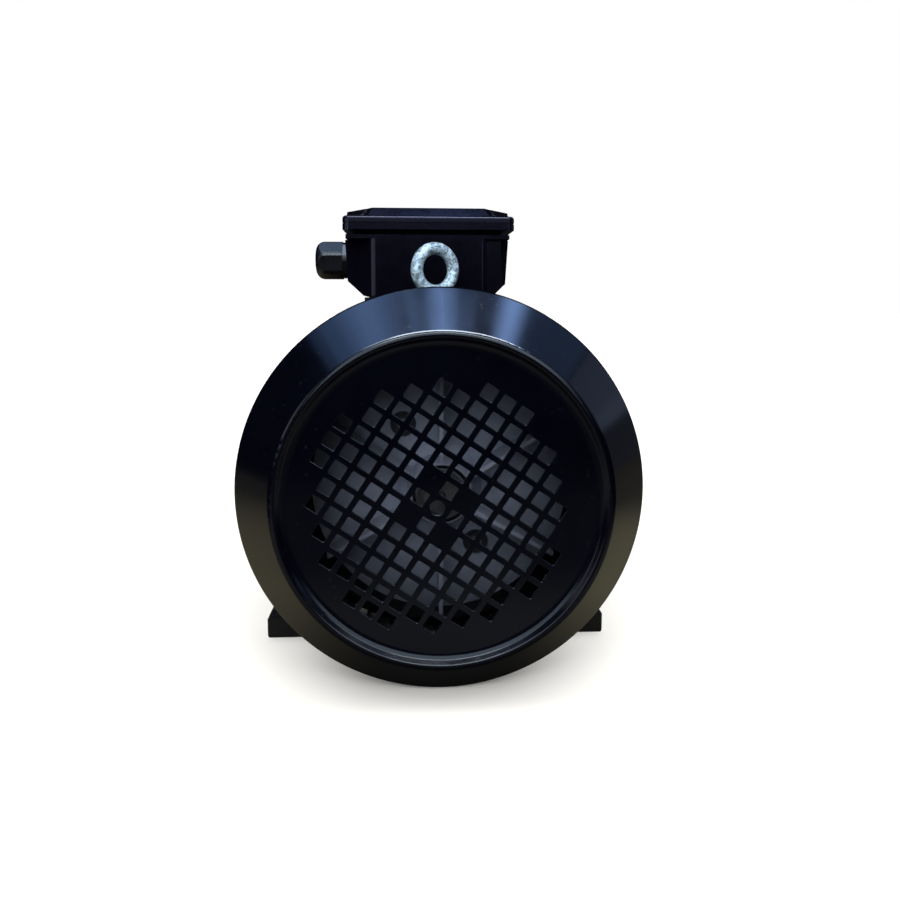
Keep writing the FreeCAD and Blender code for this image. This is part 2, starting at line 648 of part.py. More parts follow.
done(cut("shaft", shaft, group("shaft_cuts", [slot_body, fan_slot, centre, dimple])), "shaft")

# ------------------------------------------------------------------------- fan
fan = new_body("fan_body", ON_AXIS)
spin_solid(fan, "fan_disc", [
    (fan_hub_y, fan_seat + 0.03), (fan_hub_y, 19.9), (fan_hub_y + 14, 19.9), (fan_hub_y + 14, 22.1), (fan_hub_y + 0.4, 22.1),
    (fan_hub_y + 0.4, fan_hub_r), (-214, fan_hub_r + 3), (fan_face, 34), (fan_face, fan_r), (fan_face + 3.5, fan_r),
    (fan_face + 3.5, 34), (-203, 30), (-203, fan_seat + 0.03)])
blade = push(fan, "blade", "YZ", [[(-238, fan_hub_r - 4), (-242, fan_hub_r + 6), (-237, fan_r - 1), (fan_face + 1, fan_r - 1), (fan_face + 1, fan_hub_r - 4)]],
             blade_thick, both=True)
around(fan, "blades", [blade], 6)
tools = [block("fan_hub_slot", (-3.03, -241.5, axis_height + 10), (3.03, -200, axis_height + fan_seat + 2.8))]
for a in (121, 301):
    px, pz = polar(57.0, a)
    tools.append(cyl("puller_recess", 10.4, 6.7, (px, -215, axis_height + pz), "Y"))
    tools.append(cut("puller_groove", cyl("puller_groove_out", 10.4, 8.6, (px, -215, axis_height + pz), "Y"),
                     cyl("puller_groove_in", 7.6, 12, (px, -216, axis_height + pz), "Y")))
    tools.append(cyl("puller_thread", 3.3, 20, (px, -215, axis_height + pz), "Y"))
done(cut("fan", fan, group("fan_cuts", tools)), "fan")
done(block("fan_key", (-3, -240, axis_height + fan_seat - 3.5), (3, -211, axis_height + fan_seat + 2.5)), "fan_key")
clip = cut("fan_clip_ring", cyl("fan_clip_outer", fan_seat + 4, 1.7, (0, -246.3, axis_height), "Y"),
           cyl("fan_clip_inner", fan_seat - 1.45, 6, (0, -248, axis_height), "Y"))
done(cut("fan_circlip", clip, block("fan_clip_gap", (-5, -249, axis_height - 30), (5, -240, axis_height - 11))), "fan_circlip")

# ------------------------------------------------------------------------ cowl
cowl = new_body("cowl_body", ON_AXIS)
spin_solid(cowl, "cowl_shell", [
    (cowl_back, cowl_r), (cowl_rim, cowl_r), (cowl_front, ridge_r), (cowl_front, ridge_in), (step_y, step_r), (face_y, face_r), (face_y, 0),
    (face_y + cowl_sheet, 0), (face_y + cowl_sheet, face_r + 0.222 * cowl_sheet), (step_y + 0.831 * cowl_sheet, step_r + 0.584 * cowl_sheet),
    (cowl_front + cowl_sheet, ridge_in + 0.416 * cowl_sheet),
    (cowl_front + cowl_sheet, ridge_r - 0.453 * cowl_sheet), (cowl_rim + 0.38 * cowl_sheet, cowl_r - cowl_sheet), (cowl_back, cowl_r - cowl_sheet)])


def circle_at(e, y, r):
    c = e.Curve
    return hasattr(c, "Radius") and abs(c.Radius - r) < 0.06 and abs(c.Center.y - y) < 0.06


def soften(body, name, rings, radius):
    doc.recompute()
    base = body.Tip
    ids = ["Edge%d" % (i + 1) for i, e in enumerate(base.Shape.Edges) if any(circle_at(e, number(y), number(r)) for y, r in rings)]
    f = body.newObject("PartDesign::Fillet", fresh(name))
    f.Base = (base, ids)
    f.Radius = radius
    body.Tip = f
    doc.recompute()
    return f


soften(cowl, "rim_round", [(cowl_rim, cowl_r)], 4.0)
soften(cowl, "rim_round_in", [(cowl_rim + 0.38 * cowl_sheet, cowl_r - cowl_sheet)], 2.5)
soften(cowl, "ridge_round", [(cowl_front, ridge_r)], 4.8)
soften(cowl, "ridge_round_in", [(cowl_front, ridge_in)], 2.3)
soften(cowl, "step_round", [(step_y, step_r)], 2.0)
soften(cowl, "face_round", [(face_y, face_r)], 6.0)


def square_prism(side, corner, depth):
    h = side / 2.0
    k = h - corner
    q = corner * (1 - math.sqrt(0.5))
    edges = []
    spots = [(1, 1), (-1, 1), (-1, -1), (1, -1)]
    for n, (sx, sz) in enumerate(spots):
        a = Vector(sx * h, 0, sz * k)
        m = Vector(sx * (h - q), 0, sz * (h - q))
        b = Vector(sx * k, 0, sz * h)
        tx, tz = spots[(n + 1) % 4]
        if n % 2 == 0:
            edges.append(Part.Arc(a, m, b).toShape())
            nxt = Vector(tx * k, 0, tz * h)
            edges.append(Part.makeLine(b, nxt))
        else:
            edges.append(Part.Arc(b, m, a).toShape())
            nxt = Vector(tx * h, 0, tz * k)
            edges.append(Part.makeLine(a, nxt))
    wire = Part.Wire(Part.__sortEdges__(edges))
    return Part.Face(wire).extrude(Vector(0, depth, 0))


# The punched field: a turned square grid, clipped to a round outline, with a
# round hole in the middle and four blank places on its diagonals.
pitch, side, turn = sheet.grid_pitch, sheet.grid_hole, sheet.grid_turn
one = square_prism(side, 1.1, 10.0)
one.translate(Vector(0, sheet.face_y - 4.0, 0))
punches = []
for i in range(-6, 7):
    for j in range(-6, 7):
        if i * i + j * j > 37 or (i, j) == (0, 0) or (abs(i) == 1 and abs(j) == 1):
            continue
        t = math.radians(turn)
        px = pitch * (i * math.cos(t) - j * math.sin(t))
        pz = -pitch * (i * math.sin(t) + j * math.cos(t))
        s = one.copy()
        s.rotate(Vector(0, 0, 0), Vector(0, 1, 0), turn)
        s.translate(Vector(px, 0, pz))
        punches.append(s)
punch = doc.addObject("Part::Feature", "grille_punches")
punch.Shape = Part.makeCompound(punches)
punch.Placement = Placement(Vector(sheet.grid_x, 0, sheet.axis_height + sheet.grid_z), Rotation())
tools = [punch, cyl("grille_round", grid_round, 10, (grid_x, face_y - 4, axis_height + grid_z), "Y")]
for a in COWL_ANGLES:
    px, pz = polar(150.0, a)
    tools.append(cyl("cowl_screw_way", 2.8, 20, (px, -158, axis_height + pz), Rotation(Vector(0, 1, 0), 90 - a)))
done(cut("fan_cowl", cowl, group("cowl_cuts", tools)), "fan_cowl")
screws = []
for a in COWL_ANGLES:
    way = Rotation(Vector(0, 1, 0), 90 - a)
    px, pz = polar(cowl_r + 0.15, a)
    qx, qz = polar(142.0, a)
    head = cone("cowl_screw_head", 4.8, 3.4, 3.2, (px, -158, axis_height + pz), way)
    shank = cyl("cowl_screw_shank", 2.5, 16.5, (qx, -158, axis_height + qz), way)
    screws.append(fuse("cowl_screw", [head, shank]))
done(group("cowl_screws", screws), "cowl_screws")

# ---------------------------------------------------------------- terminal box
AT_BOX = (box_x, box_y, 0)
SCREW_SPOTS = [(sx * 60.2, sy * 64.2) for sx in (-1, 1) for sy in (-1, 1)]


def round_edges(body, name, radius, choose):
    doc.recompute()
    base = body.Tip
    ids = ["Edge%d" % (i + 1) for i, e in enumerate(base.Shape.Edges) if choose(e)]
    f = body.newObject("PartDesign::Fillet", fresh(name))
    f.Base = (base, ids)
    f.Radius = radius
    body.Tip = f
    doc.recompute()
    return f


base = new_body("box_base_body", AT_BOX)
push(base, "box_trunk", "XY", [cut_rect(box_side, box_half_y, box_cut)], flange_low - box_low, offset=box_low)
round_edges(base, "box_trunk_round", 8.0, lambda e: e.BoundBox.ZLength > 10 and abs(abs(e.BoundBox.Center.x) - number(box_side - box_cut)) < 0.1
            and abs(abs(e.BoundBox.Center.y) - number(box_half_y)) < 0.1)
push(base, "box_flange", "XY", [rect(-box_left, -box_half_y, box_right, box_half_y)], flange_top - flange_low, offset=flange_low)
push(base, "box_rim", "XY", [cut_rect(box_side - 3, box_half_y - 4, rim_cut)], rim_top - flange_low, offset=flange_low)
push(base, "box_sides", "XY", [rect(-pad_left, -57, pad_right, 57)], flange_low - box_low - 6, offset=box_low + 6, taper=2.9)
for sx in (-1, 1):
    push(base, "low_bevel", "XZ", [[(sx * 82.2, box_low - 1), (sx * 82.2, box_low + 18.9), (sx * 59.7, box_low - 1)]],
         200, remove=True, both=True)
push(base, "box_room", "XY", [cut_rect(box_side - 7, box_half_y - 8, rim_cut)], 60, offset=box_low + 11.2, remove=True, back=True)
push(base, "box_well", "XY", [cut_rect(57, box_half_y - 8, box_cut)], 60, offset=box_floor, remove=True, back=True)
push(base, "lead_way", "XY", [rect(-30, -59, 30, -23)], 20, offset=box_low - 5, remove=True, back=True)
tools = [cyl("gland_way", gland_thread + 0.1, 30, (box_x - box_left - 5, box_y, gland_z), "X"),
         cyl("gland_spot", gland_thread + 4.3, 8, (box_x - box_left - 8, box_y, gland_z), "X")]
for dx, dy in ((-48, -45), (48, -45), (-48, 45), (48, 45)):
    tools.append(cyl("box_screw_way", 3.3, 20, (box_x + dx, box_y + dy, box_low - 5)))
tools.append(cyl("earth_way", 3.3, 20, (box_x + 46, box_y - 20, box_low - 5)))
for dx in (-33.0, 33.0):
    tools.append(cyl("board_screw_hole", 2.15, 6, (box_x + dx, box_y + 18, box_floor - 3.8)))
for dx, dy in SCREW_SPOTS:
    tools.append(cyl("lid_screw_hole", 2.05, 30, (box_x + dx, box_y + dy, flange_low - 9.5)))
done(cut("box_base", base, group("box_cuts", tools)), "box_base")

gasket = new_body("box_gasket_body", AT_BOX)
push(gasket, "box_gasket_sheet", "XY", [rect(-56, -64, 56, 64), rect(-30, -59, 30, -23)], box_low - box_seat, offset=box_seat)
tools = []
for dx, dy in ((-48, -45), (48, -45), (-48, 45), (48, 45)):
    tools.append(cyl("box_gasket_way", 3.3, 10, (box_x + dx, box_y + dy, box_seat - 2)))
tools.append(cyl("earth_gasket_way", 3.3, 10, (box_x + 46, box_y - 20, box_seat - 2)))
done(cut("box_gasket", gasket, group("box_gasket_cuts", tools)), "box_gasket")
screws = []
for dx, dy in ((-48, -45), (48, -45), (-48, 45), (48, 45)):
    at = (box_x + dx, box_y + dy)
    head = cyl("box_screw_head", 5, 4, (at[0], at[1], box_floor))
    shank = cyl("box_screw_shank", 3, 17.5, (at[0], at[1], box_floor - 17))
    nick = block("box_screw_nick", (at[0] - 6, at[1] - 0.6, box_floor + 2.6), (at[0] + 6, at[1] + 0.6, box_floor + 5))
    screws.append(cut("box_screw", fuse("box_screw_solid", [head, shank]), nick))
done(group("box_screws", screws), "box_screws")

seal = new_body("lid_gasket_body", AT_BOX)
push(seal, "lid_gasket_ring", "XY", [cut_rect(box_side - 3, box_half_y - 4, rim_cut), cut_rect(box_side - 7, box_half_y - 8, rim_cut)], lid_low - rim_top, offset=rim_top)
done(seal, "lid_gasket")


def lid_layer(name, inset, low, high, corner, lean=0.0):
    b = new_body(name + "_body", AT_BOX)
    a, c = lid_half_x - inset, lid_half_y - inset
    push(b, name, "XY", [rect(-a, -c, a, c)], high - low, offset=low, taper=-lean)
    round_edges(b, name + "_round", corner, lambda e: e.BoundBox.ZLength > 1)
    return b


lid_top = new_body("lid_panel_body", AT_BOX)
push(lid_top, "lid_panel", "XY", [cut_rect(lid_half_x + 10.75, lid_half_y - 2.5, 33.75, 45)], lid_rise + 1, offset=lid_edge - 1, taper=-45)
lid_top = cut("lid_panel_trim", lid_top, group("lid_panel_sides", [
    block("lid_panel_left", (box_x - 115, box_y - 100, lid_edge - 4), (box_x - lid_half_x + 1.2, box_y + 100, lid_edge + 16)),
    block("lid_panel_right", (box_x + lid_half_x - 1.2, box_y - 100, lid_edge - 4), (box_x + 115, box_y + 100, lid_edge + 16))]))
upper = lid_layer("lid_upper", 0, lid_low + 6.6, lid_edge, 6.0, 0.8)
round_edges(upper, "lid_upper_soft", 2.8, lambda e: e.BoundBox.ZLength < 0.01 and abs(e.BoundBox.ZMin - number(lid_edge)) < 0.01)
solid = fuse("lid_solid", [
    lid_layer("lid_lower", 0, lid_low, lid_low + 5.4, 6.0),
    lid_layer("lid_groove", 1.4, lid_low + 5.0, lid_low + 7.0, 4.6),
    upper, lid_top])
room = new_body("lid_room_body", AT_BOX)
push(room, "lid_room", "XY", [cut_rect(lid_half_x - 15, lid_half_y - 15, 22.5)], lid_edge - lid_low + 2, offset=lid_low - 1, taper=0)
tools = [room]
for dx, dy in SCREW_SPOTS:
    tools.append(cyl("lid_screw_way", 2.4, 30, (box_x + dx, box_y + dy, lid_low - 5)))
    tools.append(cyl("lid_screw_sink", 4.5, 10, (box_x + dx, box_y + dy, lid_edge)))
done(cut("box_lid", solid, group("lid_cuts", tools)), "box_lid")
screws = []
for dx, dy in SCREW_SPOTS:
    at = (box_x + dx, box_y + dy)
    head = cyl("lid_screw_head", 4, 2.6, (at[0], at[1], lid_edge))
    shank = cyl("lid_screw_shank", 2, 28.5, (at[0], at[1], lid_edge - 28))
    nick = block("lid_screw_nick", (at[0] - 5, at[1] - 0.5, lid_edge + 1.4), (at[0] + 5, at[1] + 0.5, lid_edge + 4))
    screws.append(cut("lid_screw", fuse("lid_screw_solid", [head, shank]), nick))
done(group("lid_screws", screws), "lid_screws")

# -------------------------------------------------------------- terminal board
board_top = box_floor + 10
board = block("board_block", (box_x - 38, box_y - 11, box_floor), (box_x + 38, box_y + 47, board_top))
STUDS = [(dx, dy) for dx in (-22, 0, 22) for dy in (6, 30)]
tools = []
for dx, dy in STUDS:
    tools.append(cyl("stud_hole", 3, 20, (box_x + dx, box_y + dy, box_floor + 3)))
for dx in (-33.0, 33.0):
    tools.append(cyl("board_screw_way", 2.2, 20, (box_x + dx, box_y + 18, box_floor - 5)))
done(cut("terminal_board", board, group("board_cuts", tools)), "terminal_board")
done(group("terminal_studs", [cyl("stud", 3, 25, (box_x + dx, box_y + dy, box_floor + 3)) for dx, dy in STUDS]), "terminal_studs")
nuts = []
for dx, dy in STUDS:
    nuts.append(cut("stud_nut", hexagon("stud_nut_hex", 5, 5, (box_x + dx, box_y + dy, board_top + 2), "Z", 30),
                    cyl("stud_nut_hole", 3, 10, (box_x + dx, box_y + dy, board_top))))
done(group("terminal_nuts", nuts), "terminal_nuts")
links = []
for dx in (-22, 0, 22):
    plate = block("link_plate", (box_x + dx - 5, box_y, board_top), (box_x + dx + 5, box_y + 36, board_top + 2))
    links.append(cut("link", plate, group("link_holes", [cyl("link_hole", 3.2, 10, (box_x + dx, box_y + dy, board_top - 3)) for dy in (6, 30)])))
done(group("terminal_links", links), "terminal_links")
screws = []
for dx in (-33.0, 33.0):
    head = cyl("board_screw_head", 4, 3, (box_x + dx, box_y + 18, board_top))
    shank = cyl("board_screw_shank", 2.1, 14, (box_x + dx, box_y + 18, board_top - 13.5))
    screws.append(fuse("board_screw", [head, shank]))
done(group("board_screws", screws), "board_screws")
done(fuse("earth_screw", [cyl("earth_washer", 6, 1.4, (box_x + 46, box_y - 20, box_floor)),
                          hexagon("earth_head", 5, 4.2, (box_x + 46, box_y - 20, box_floor + 1.4)),
                          cyl("earth_shank", 3, 17, (box_x + 46, box_y - 20, box_floor - 16.5))]), "earth_screw")

# ----------------------------------------------------------------- cable gland
wall = box_x - box_left
inside = box_x - box_side + 7
stop = wall + 2.5


def tube(name, r_out, r_in, x0, x1):
    a = cyl(name + "_out", r_out, abs(number(x1) - number(x0)), (x0, box_y, gland_z), "X")
    return cut(name, a, cyl(name + "_in", r_in, abs(number(x1) - number(x0)) + 2, (x0 - 1, box_y, gland_z), "X"))


done(tube("gland_washer", gland_thread + 3.5, gland_thread + 0.05, wall - 1.5, wall), "gland_washer")
collar = common("gland_collar", [cyl("gland_collar_round", 18.6, 7, (wall - 8.5, box_y, gland_z), "X"),
                                 hexagon("gland_collar_hex", gland_flat, 7, (wall - 8.5, box_y, gland_z), "X", 26)])
stem = cyl("gland_stem", gland_thread, 21, (wall - 2, box_y, gland_z), "X")
neck = cyl("gland_neck", gland_thread - 0.5, 14, (stop - 23.5, box_y, gland_z), "X")
way = cyl("gland_bore", 11, 60, (stop - 30, box_y, gland_z), "X")
cup = cyl("gland_cup", 14, 12, (stop - 25, box_y, gland_z), "X")
done(cut("gland_body", fuse("gland_solid", [collar, stem, neck]), group("gland_ways", [way, cup])), "gland_body")
done(cut("gland_locknut", hexagon("locknut_hex", gland_flat + 1.5, 5, (inside, box_y, gland_z), "X", 20),
         cyl("locknut_hole", gland_thread, 12, (inside - 3, box_y, gland_z), "X")), "gland_locknut")
cap_end = stop - 38.5
cap = cyl("gland_cap_round", gland_flat * 1.09, 27.2, (cap_end, box_y, gland_z), "X")
cap = fillet("gland_cap_dome", cap, 9.0, lambda e: hasattr(e.Curve, "Radius") and abs(e.BoundBox.XMin - number(cap_end)) < 0.01 and abs(e.BoundBox.XMax - number(cap_end)) < 0.01)
cap = common("gland_cap", [cap, hexagon("gland_cap_hex", gland_flat, 27.2, (cap_end, box_y, gland_z), "X", 11)])
tools = [cyl("cap_thread", gland_thread - 0.45, 15, (stop - 24, box_y, gland_z), "X"),
         cyl("cap_room", 14.05, 12, (stop - 35, box_y, gland_z), "X"),
         cyl("cap_mouth", 10.5, 10, (stop - 42, box_y, gland_z), "X")]
done(cut("gland_nut", cap, group("cap_ways", tools)), "gland_nut")
done(tube("gland_seal", 13.95, cable_r, stop - 34.8, stop - 15), "gland_seal")

# -------------------------------------------------------------------- eye bolt
lean = Rotation(Vector(0, 0, 1), number(eye_turn)).multiply(TURN["Y"])
eye = ring_bar("eye_loop", eye_ring, eye_bar, (eye_x, eye_y, eye_centre), lean)
collar = fuse("eye_foot", [
    cyl("eye_collar", 12.5, 3, (eye_x, eye_y, eye_seat)),
    cone("eye_neck", 12.5, 6.5, 3.5, (eye_x, eye_y, eye_seat + 3)),
    cyl("eye_shank", eye_thread, 14.5, (eye_x, eye_y, eye_seat - 14))])
done(fuse("eye_bolt", [eye, collar]), "eye_bolt")

# ---------------------------------------------------------------- rating plate
plate = block("plate_sheet", (151.5, -28, axis_height - 30), (152.5, 68, axis_height + 30))
plate = fillet("plate_round", plate, 3.0, lambda e: e.BoundBox.XLength > 0.5)
done(cut("rating_plate", plate, group("plate_holes", [cyl("plate_hole", 1.6, 6, (149, y, z), "X") for y, z in ((-24, 134), (64, 134), (-24, 186), (64, 186))])), "rating_plate")
rivets = []
for y, z in ((-24, 134), (64, 134), (-24, 186), (64, 186)):
    rivets.append(fuse("rivet", [cyl("rivet_shank", 1.5, 6.5, (146.2, y, z), "X"), cone("rivet_head", 3, 1.8, 1.2, (152.5, y, z), "X")]))
done(group("plate_rivets", rivets), "plate_rivets")

# ---------------------------------------------------------------------- export
doc.recompute()
for o in doc.Objects:
    bad = [w for w in o.State if w in ("Invalid", "Error")]
    if bad:
        raise RuntimeError("%s is %s" % (o.Label, bad))
os.makedirs("parts", exist_ok=True)
for o in parts:
    s = o.Shape
    if s.isNull() or not s.isValid() or not s.Solids:
        raise RuntimeError("%s has no valid solid" % o.Label)
    s.exportStep("parts/%s.step" % o.Label)
    b = s.BoundBox
    print("%-24s solids %2d volume %12.1f  X %.1f %.1f  Y %.1f %.1f  Z %.1f %.1f" % (
        o.Label, len(s.Solids), s.Volume, b.XMin, b.XMax, b.YMin, b.YMax, b.ZMin, b.ZMax))
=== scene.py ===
import bpy
import json
import math
from mathutils import Matrix, Vector

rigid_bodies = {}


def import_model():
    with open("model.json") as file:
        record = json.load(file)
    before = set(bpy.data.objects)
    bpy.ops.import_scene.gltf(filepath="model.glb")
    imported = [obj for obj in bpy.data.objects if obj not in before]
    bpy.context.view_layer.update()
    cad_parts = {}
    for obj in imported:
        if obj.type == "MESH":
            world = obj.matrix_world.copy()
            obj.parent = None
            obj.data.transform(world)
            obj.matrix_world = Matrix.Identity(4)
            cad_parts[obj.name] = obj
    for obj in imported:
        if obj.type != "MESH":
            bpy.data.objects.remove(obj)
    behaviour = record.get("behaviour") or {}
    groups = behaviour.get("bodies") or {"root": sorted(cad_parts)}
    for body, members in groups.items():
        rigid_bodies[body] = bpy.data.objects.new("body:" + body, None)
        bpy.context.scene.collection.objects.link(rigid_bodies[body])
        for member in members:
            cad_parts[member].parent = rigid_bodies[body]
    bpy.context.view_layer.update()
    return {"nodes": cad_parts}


# Foot-mounted alternating current motor seen from its fan end.
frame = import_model()
nodes = frame["nodes"]
scene = bpy.context.scene


# ------------------------------------------------------------------ node tools
class Look:
    """One procedural material, written as short chains of nodes."""

    def __init__(self, name):
        self.m = bpy.data.materials.new(name)
        self.m.use_nodes = True
        self.t = self.m.node_tree
        self.t.nodes.clear()
        self.out = self.t.nodes.new("ShaderNodeOutputMaterial")
        self.b = self.t.nodes.new("ShaderNodeBsdfPrincipled")
        self.t.links.new(self.b.outputs["BSDF"], self.out.inputs["Surface"])
        self.co = self.t.nodes.new("ShaderNodeTexCoord").outputs["Object"]

    def link(self, a, b):
        self.t.links.new(a, b)

    def set(self, **kw):
        for k, v in kw.items():
            self.b.inputs[k.replace("_", " ")].default_value = v
        return self

    def scaled(self, scale, base=None, turn=(0, 0, 0), move=(0, 0, 0)):
        n = self.t.nodes.new("ShaderNodeMapping")
        self.link(base or self.co, n.inputs["Vector"])
        n.inputs["Scale"].default_value = scale
        n.inputs["Rotation"].default_value = turn
        n.inputs["Location"].default_value = move
        return n.outputs["Vector"]

    def noise(self, scale, detail=3.0, rough=0.55, base=None, bend=0.0):
        n = self.t.nodes.new("ShaderNodeTexNoise")
        self.link(base or self.co, n.inputs["Vector"])
        n.inputs["Scale"].default_value = scale
        n.inputs["Detail"].default_value = detail
        n.inputs["Roughness"].default_value = rough
        n.inputs["Distortion"].default_value = bend
        return n.outputs["Fac"]

    def cells(self, scale, base=None, feature="F1", random=1.0):
        n = self.t.nodes.new("ShaderNodeTexVoronoi")
        n.feature = feature
        self.link(base or self.co, n.inputs["Vector"])
        n.inputs["Scale"].default_value = scale
        n.inputs["Randomness"].default_value = random
        return n.outputs["Distance"]

    def wave(self, scale, axis="Y", base=None, bend=0.0, detail=2.0, detail_scale=1.0, kind="BANDS"):
        n = self.t.nodes.new("ShaderNodeTexWave")
        n.wave_type = kind
        if kind == "BANDS":
            n.bands_direction = axis
        else:
            n.rings_direction = axis
        self.link(base or self.co, n.inputs["Vector"])
        n.inputs["Scale"].default_value = scale
        n.inputs["Distortion"].default_value = bend
        n.inputs["Detail"].default_value = detail
        n.inputs["Detail Scale"].default_value = detail_scale
        return n.outputs["Fac"]

    def span(self, value, a, b, c, d, smooth=False):
        n = self.t.nodes.new("ShaderNodeMapRange")
        if smooth:
            n.interpolation_type = "SMOOTHSTEP"
        self.link(value, n.inputs["Value"])
        for k, v in zip(("From Min", "From Max", "To Min", "To Max"), (a, b, c, d)):
            n.inputs[k].default_value = v
        return n.outputs["Result"]

    def sum(self, op, a, b=0.5):
        n = self.t.nodes.new("ShaderNodeMath")
        n.operation = op
        for i, v in enumerate((a, b)):
            if hasattr(v, "node"):
                self.link(v, n.inputs[i])
            else:
                n.inputs[i].default_value = v
        return n.outputs["Value"]

    def blend(self, fac, a, b, mode="MIX"):
        n = self.t.nodes.new("ShaderNodeMix")
        n.data_type = "RGBA"
        n.blend_type = mode
        if hasattr(fac, "node"):
            self.link(fac, n.inputs[0])
        else:
            n.inputs[0].default_value = fac
        for i, v in ((6, a), (7, b)):
            if hasattr(v, "node"):
                self.link(v, n.inputs[i])
            else:
                n.inputs[i].default_value = (*v, 1.0)
        return n.outputs[2]

    def up(self):
        """How far a face looks upward, from -1 to 1."""
        g = self.t.nodes.new("ShaderNodeNewGeometry")
        s = self.t.nodes.new("ShaderNodeSeparateXYZ")
        self.link(g.outputs["Normal"], s.inputs["Vector"])
        return s.outputs["Z"]

    def axis(self, which):
        s = self.t.nodes.new("ShaderNodeSeparateXYZ")
        self.link(self.co, s.inputs["Vector"])
        return s.outputs[which]

    def bump(self, height, depth, strength=1.0, under=None):
        n = self.t.nodes.new("ShaderNodeBump")
        n.inputs["Strength"].default_value = strength
        n.inputs["Distance"].default_value = depth
        self.link(height, n.inputs["Height"])
        if under is not None:
            self.link(under, n.inputs["Normal"])
        return n.outputs["Normal"]

    def colour(self, socket):
        self.link(socket, self.b.inputs["Base Color"])

    def rough(self, socket):
        self.link(socket, self.b.inputs["Roughness"])

    def normal(self, socket):
        self.link(socket, self.b.inputs["Normal"])


# ------------------------------------------------------------------- materials
def sheet_paint():
    """Semi-gloss black paint on the pressed cowl."""
    k = Look("cowl_paint")
    k.set(IOR=1.45)
    cloud = k.noise(14, 4, 0.6)
    tone = k.blend(k.span(cloud, 0.35, 0.7, 0, 1), (0.0004, 0.0005, 0.0019), (0.0008, 0.0010, 0.0030))
    dust = k.span(k.noise(260, 2, 0.5), 0.66, 0.78, 0.0, 1.0)
    k.colour(k.blend(k.sum("MULTIPLY", dust, 0.18), tone, (0.02, 0.02, 0.022)))
    smear = k.noise(38, 5, 0.65, bend=0.6)
    k.rough(k.sum("ADD", k.span(smear, 0.3, 0.75, 0.135, 0.185), k.sum("MULTIPLY", dust, 0.1)))
    edge = k.t.nodes.new("ShaderNodeBevel")
    edge.samples = 8
    edge.inputs["Radius"].default_value = 0.0008
    peel = k.bump(k.noise(620, 2, 0.5), 0.000006, 1.0, edge.outputs["Normal"])
    k.normal(k.bump(k.noise(22, 2, 0.4), 0.00012, 1.0, peel))
    return k.m


def cast_paint():
    """Black paint over a die-cast skin."""
    k = Look("casting_paint")
    k.set(IOR=1.45)
    cloud = k.noise(20, 4, 0.6)
    tone = k.blend(k.span(cloud, 0.35, 0.7, 0, 1), (0.0016, 0.0016, 0.0018), (0.0030, 0.0030, 0.0032))
    settle = k.sum("MULTIPLY", k.span(k.up(), 0.55, 1.0, 0, 1, True), k.span(k.noise(55, 4, 0.6), 0.42, 0.7, 0, 1))
    k.colour(k.blend(k.sum("MULTIPLY", settle, 0.3), tone, (0.016, 0.0155, 0.0145)))
    k.rough(k.sum("ADD", k.span(k.noise(70, 4, 0.6), 0.3, 0.7, 0.30, 0.42), k.sum("MULTIPLY", settle, 0.12)))
    grit = k.bump(k.noise(900, 3, 0.6), 0.00004)
    k.normal(k.bump(k.noise(160, 3, 0.5), 0.00012, 1.0, grit))
    return k.m


def box_plastic():
    """Finely textured black plastic with a slight violet cast."""
    k = Look("box_plastic")
    k.set(IOR=1.26, Specular_Tint=(0.84, 0.76, 1.0, 1.0))
    cloud = k.noise(26, 4, 0.6)
    k.colour(k.blend(k.span(cloud, 0.35, 0.7, 0, 1), (0.0016, 0.0014, 0.0036), (0.0028, 0.0025, 0.0056)))
    k.rough(k.span(k.noise(60, 4, 0.6), 0.3, 0.7, 0.11, 0.16))
    k.normal(k.bump(k.noise(1500, 2, 0.6), 0.00003, 1.0, k.bump(k.noise(34, 2, 0.4), 0.00012)))
    return k.m


def gland_plastic():
    k = Look("gland_plastic")
    k.set(IOR=1.48)
    k.colour(k.blend(k.span(k.noise(60, 3, 0.6), 0.35, 0.7, 0, 1), (0.0026, 0.0024, 0.0034), (0.0046, 0.0044, 0.0058)))
    k.rough(k.span(k.noise(110, 4, 0.6), 0.3, 0.7, 0.24, 0.33))
    k.normal(k.bump(k.noise(1800, 2, 0.6), 0.000018, 1.0, k.bump(k.noise(70, 2, 0.4), 0.00006)))
    return k.m


def zinc_forged():
    """Bright zinc over a forged skin."""
    k = Look("zinc_forged")
    k.set(Metallic=0.5, IOR=1.7)
    spots = k.noise(300, 5, 0.7, bend=0.8)
    cloud = k.noise(120, 4, 0.6)
    tone = k.blend(k.span(cloud, 0.32, 0.68, 0, 1), (0.40, 0.53, 0.57), (0.76, 0.90, 0.94))
    k.colour(k.blend(k.span(spots, 0.47, 0.59, 0, 0.95), tone, (0.075, 0.11, 0.125)))
    k.rough(k.span(cloud, 0.3, 0.7, 0.24, 0.42))
    k.normal(k.bump(spots, 0.0016, 1.0, k.bump(k.noise(130, 3, 0.5), 0.002, 1.0)))
    return k.m


def zinc_turned():
    k = Look("zinc_turned")
    k.set(Metallic=0.9)
    cloud = k.noise(180, 4, 0.6)
    k.colour(k.blend(k.span(cloud, 0.35, 0.7, 0, 1), (0.42, 0.46, 0.47), (0.66, 0.70, 0.71)))
    k.rough(k.span(k.noise(320, 3, 0.6), 0.3, 0.7, 0.26, 0.42))
    k.normal(k.bump(k.noise(700, 3, 0.6), 0.00004))
    return k.m


def screw_black():
    k = Look("screw_black")
    k.set(Metallic=0.6)
    cloud = k.noise(220, 4, 0.6)
    k.colour(k.blend(k.span(cloud, 0.35, 0.75, 0, 1), (0.012, 0.012, 0.013), (0.030, 0.030, 0.032)))
    k.rough(k.span(cloud, 0.3, 0.7, 0.30, 0.44))
    k.normal(k.bump(k.noise(900, 3, 0.6), 0.00003))
    return k.m


